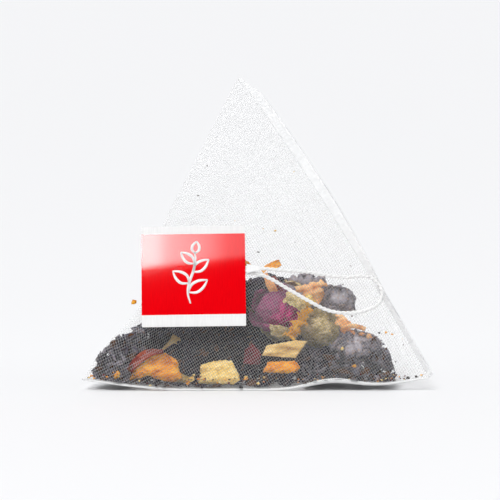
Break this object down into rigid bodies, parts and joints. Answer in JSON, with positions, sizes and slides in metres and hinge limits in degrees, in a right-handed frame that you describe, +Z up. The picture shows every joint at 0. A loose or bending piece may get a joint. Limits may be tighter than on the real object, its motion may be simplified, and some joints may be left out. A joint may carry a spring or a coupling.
{
  "type": "pyramid tea bag",
  "caption": "Sheer woven pyramid tea bag with crossed sealed edges, filled with dark tea leaf, dried fruit and a rosebud, with a folded thread and a red card tag on its front.",
  "frame": {"origin": "middle of the footprint's bounding box, on the surface that the bag stands on; the free thread doesn't count", "axes": "+X along the front edge, to the right as seen from the front; -Y is the front, where the tag lies; +Z up to the top corner"},
  "size_m": [0.069, 0.0602, 0.0607],
  "materials": {
    "card": "glossy red and white card",
    "card_white": "uncoated",
    "cotton": "twisted cotton, matt",
    "dark_leaf": "dried leaf, matt",
    "orange_fruit": "dried fruit, matt",
    "peach_fruit": "dried fruit, matt",
    "red_petal": "dried petal, matt",
    "rose_green": "dried sepal and calyx, matt",
    "rose_petal": "dried petal, matt",
    "tan_flake": "dried flake, matt",
    "woven_mesh": "sheer woven mesh, satin",
    "yellow_fruit": "dried fruit, matt"
  },
  "bodies": {
    "root": {"leaf_back": "dark_leaf", "leaf_back_left": "dark_leaf", "leaf_back_left_top": "dark_leaf", "leaf_back_right": "dark_leaf", "leaf_back_right_top": "dark_leaf", "leaf_behind_bud": "dark_leaf", "leaf_behind_calyx": "dark_leaf", "leaf_left_corner": "dark_leaf", "leaf_left_low": "dark_leaf", "leaf_left_middle_low": "dark_leaf", "leaf_left_middle_top": "dark_leaf", "leaf_left_shoulder": "dark_leaf", "leaf_left_top": "dark_leaf", "leaf_low_right": "dark_leaf", "leaf_middle_low": "dark_leaf", "leaf_middle_top": "dark_leaf", "leaf_right_low": "dark_leaf", "leaf_right_top": "dark_leaf", "leaf_top": "dark_leaf", "leaf_top_bit": "dark_leaf", "leaf_top_right": "dark_leaf", "leaf_under_bud": "dark_leaf", "mesh_bag": "woven_mesh", "orange_chunk": "orange_fruit", "orange_slice": "orange_fruit", "pale_chunk": "yellow_fruit", "pale_flake": "tan_flake", "peach_core": "peach_fruit", "peach_peel": "peach_fruit", "peach_strip": "peach_fruit", "peel_curl": "orange_fruit", "red_petal_bit": "red_petal", "rosebud_calyx": "rose_green", "rosebud_inner_petal_1": "rose_petal", "rosebud_inner_petal_2": "rose_petal", "rosebud_inner_petal_3": "rose_petal", "rosebud_outer_petal_1": "rose_petal", "rosebud_outer_petal_2": "rose_petal", "rosebud_outer_petal_3": "rose_petal", "rosebud_outer_petal_4": "rose_petal", "rosebud_sepal_1": "rose_green", "rosebud_sepal_2": "rose_green", "rosebud_sepal_3": "rose_green", "rosebud_sepal_4": "rose_green", "rosebud_sepal_5": "rose_green", "tag": "card", "tan_flake": "tan_flake", "thread": "cotton", "thread_tab": "card_white", "yellow_flake": "yellow_fruit"}
  },
  "joints": []
}
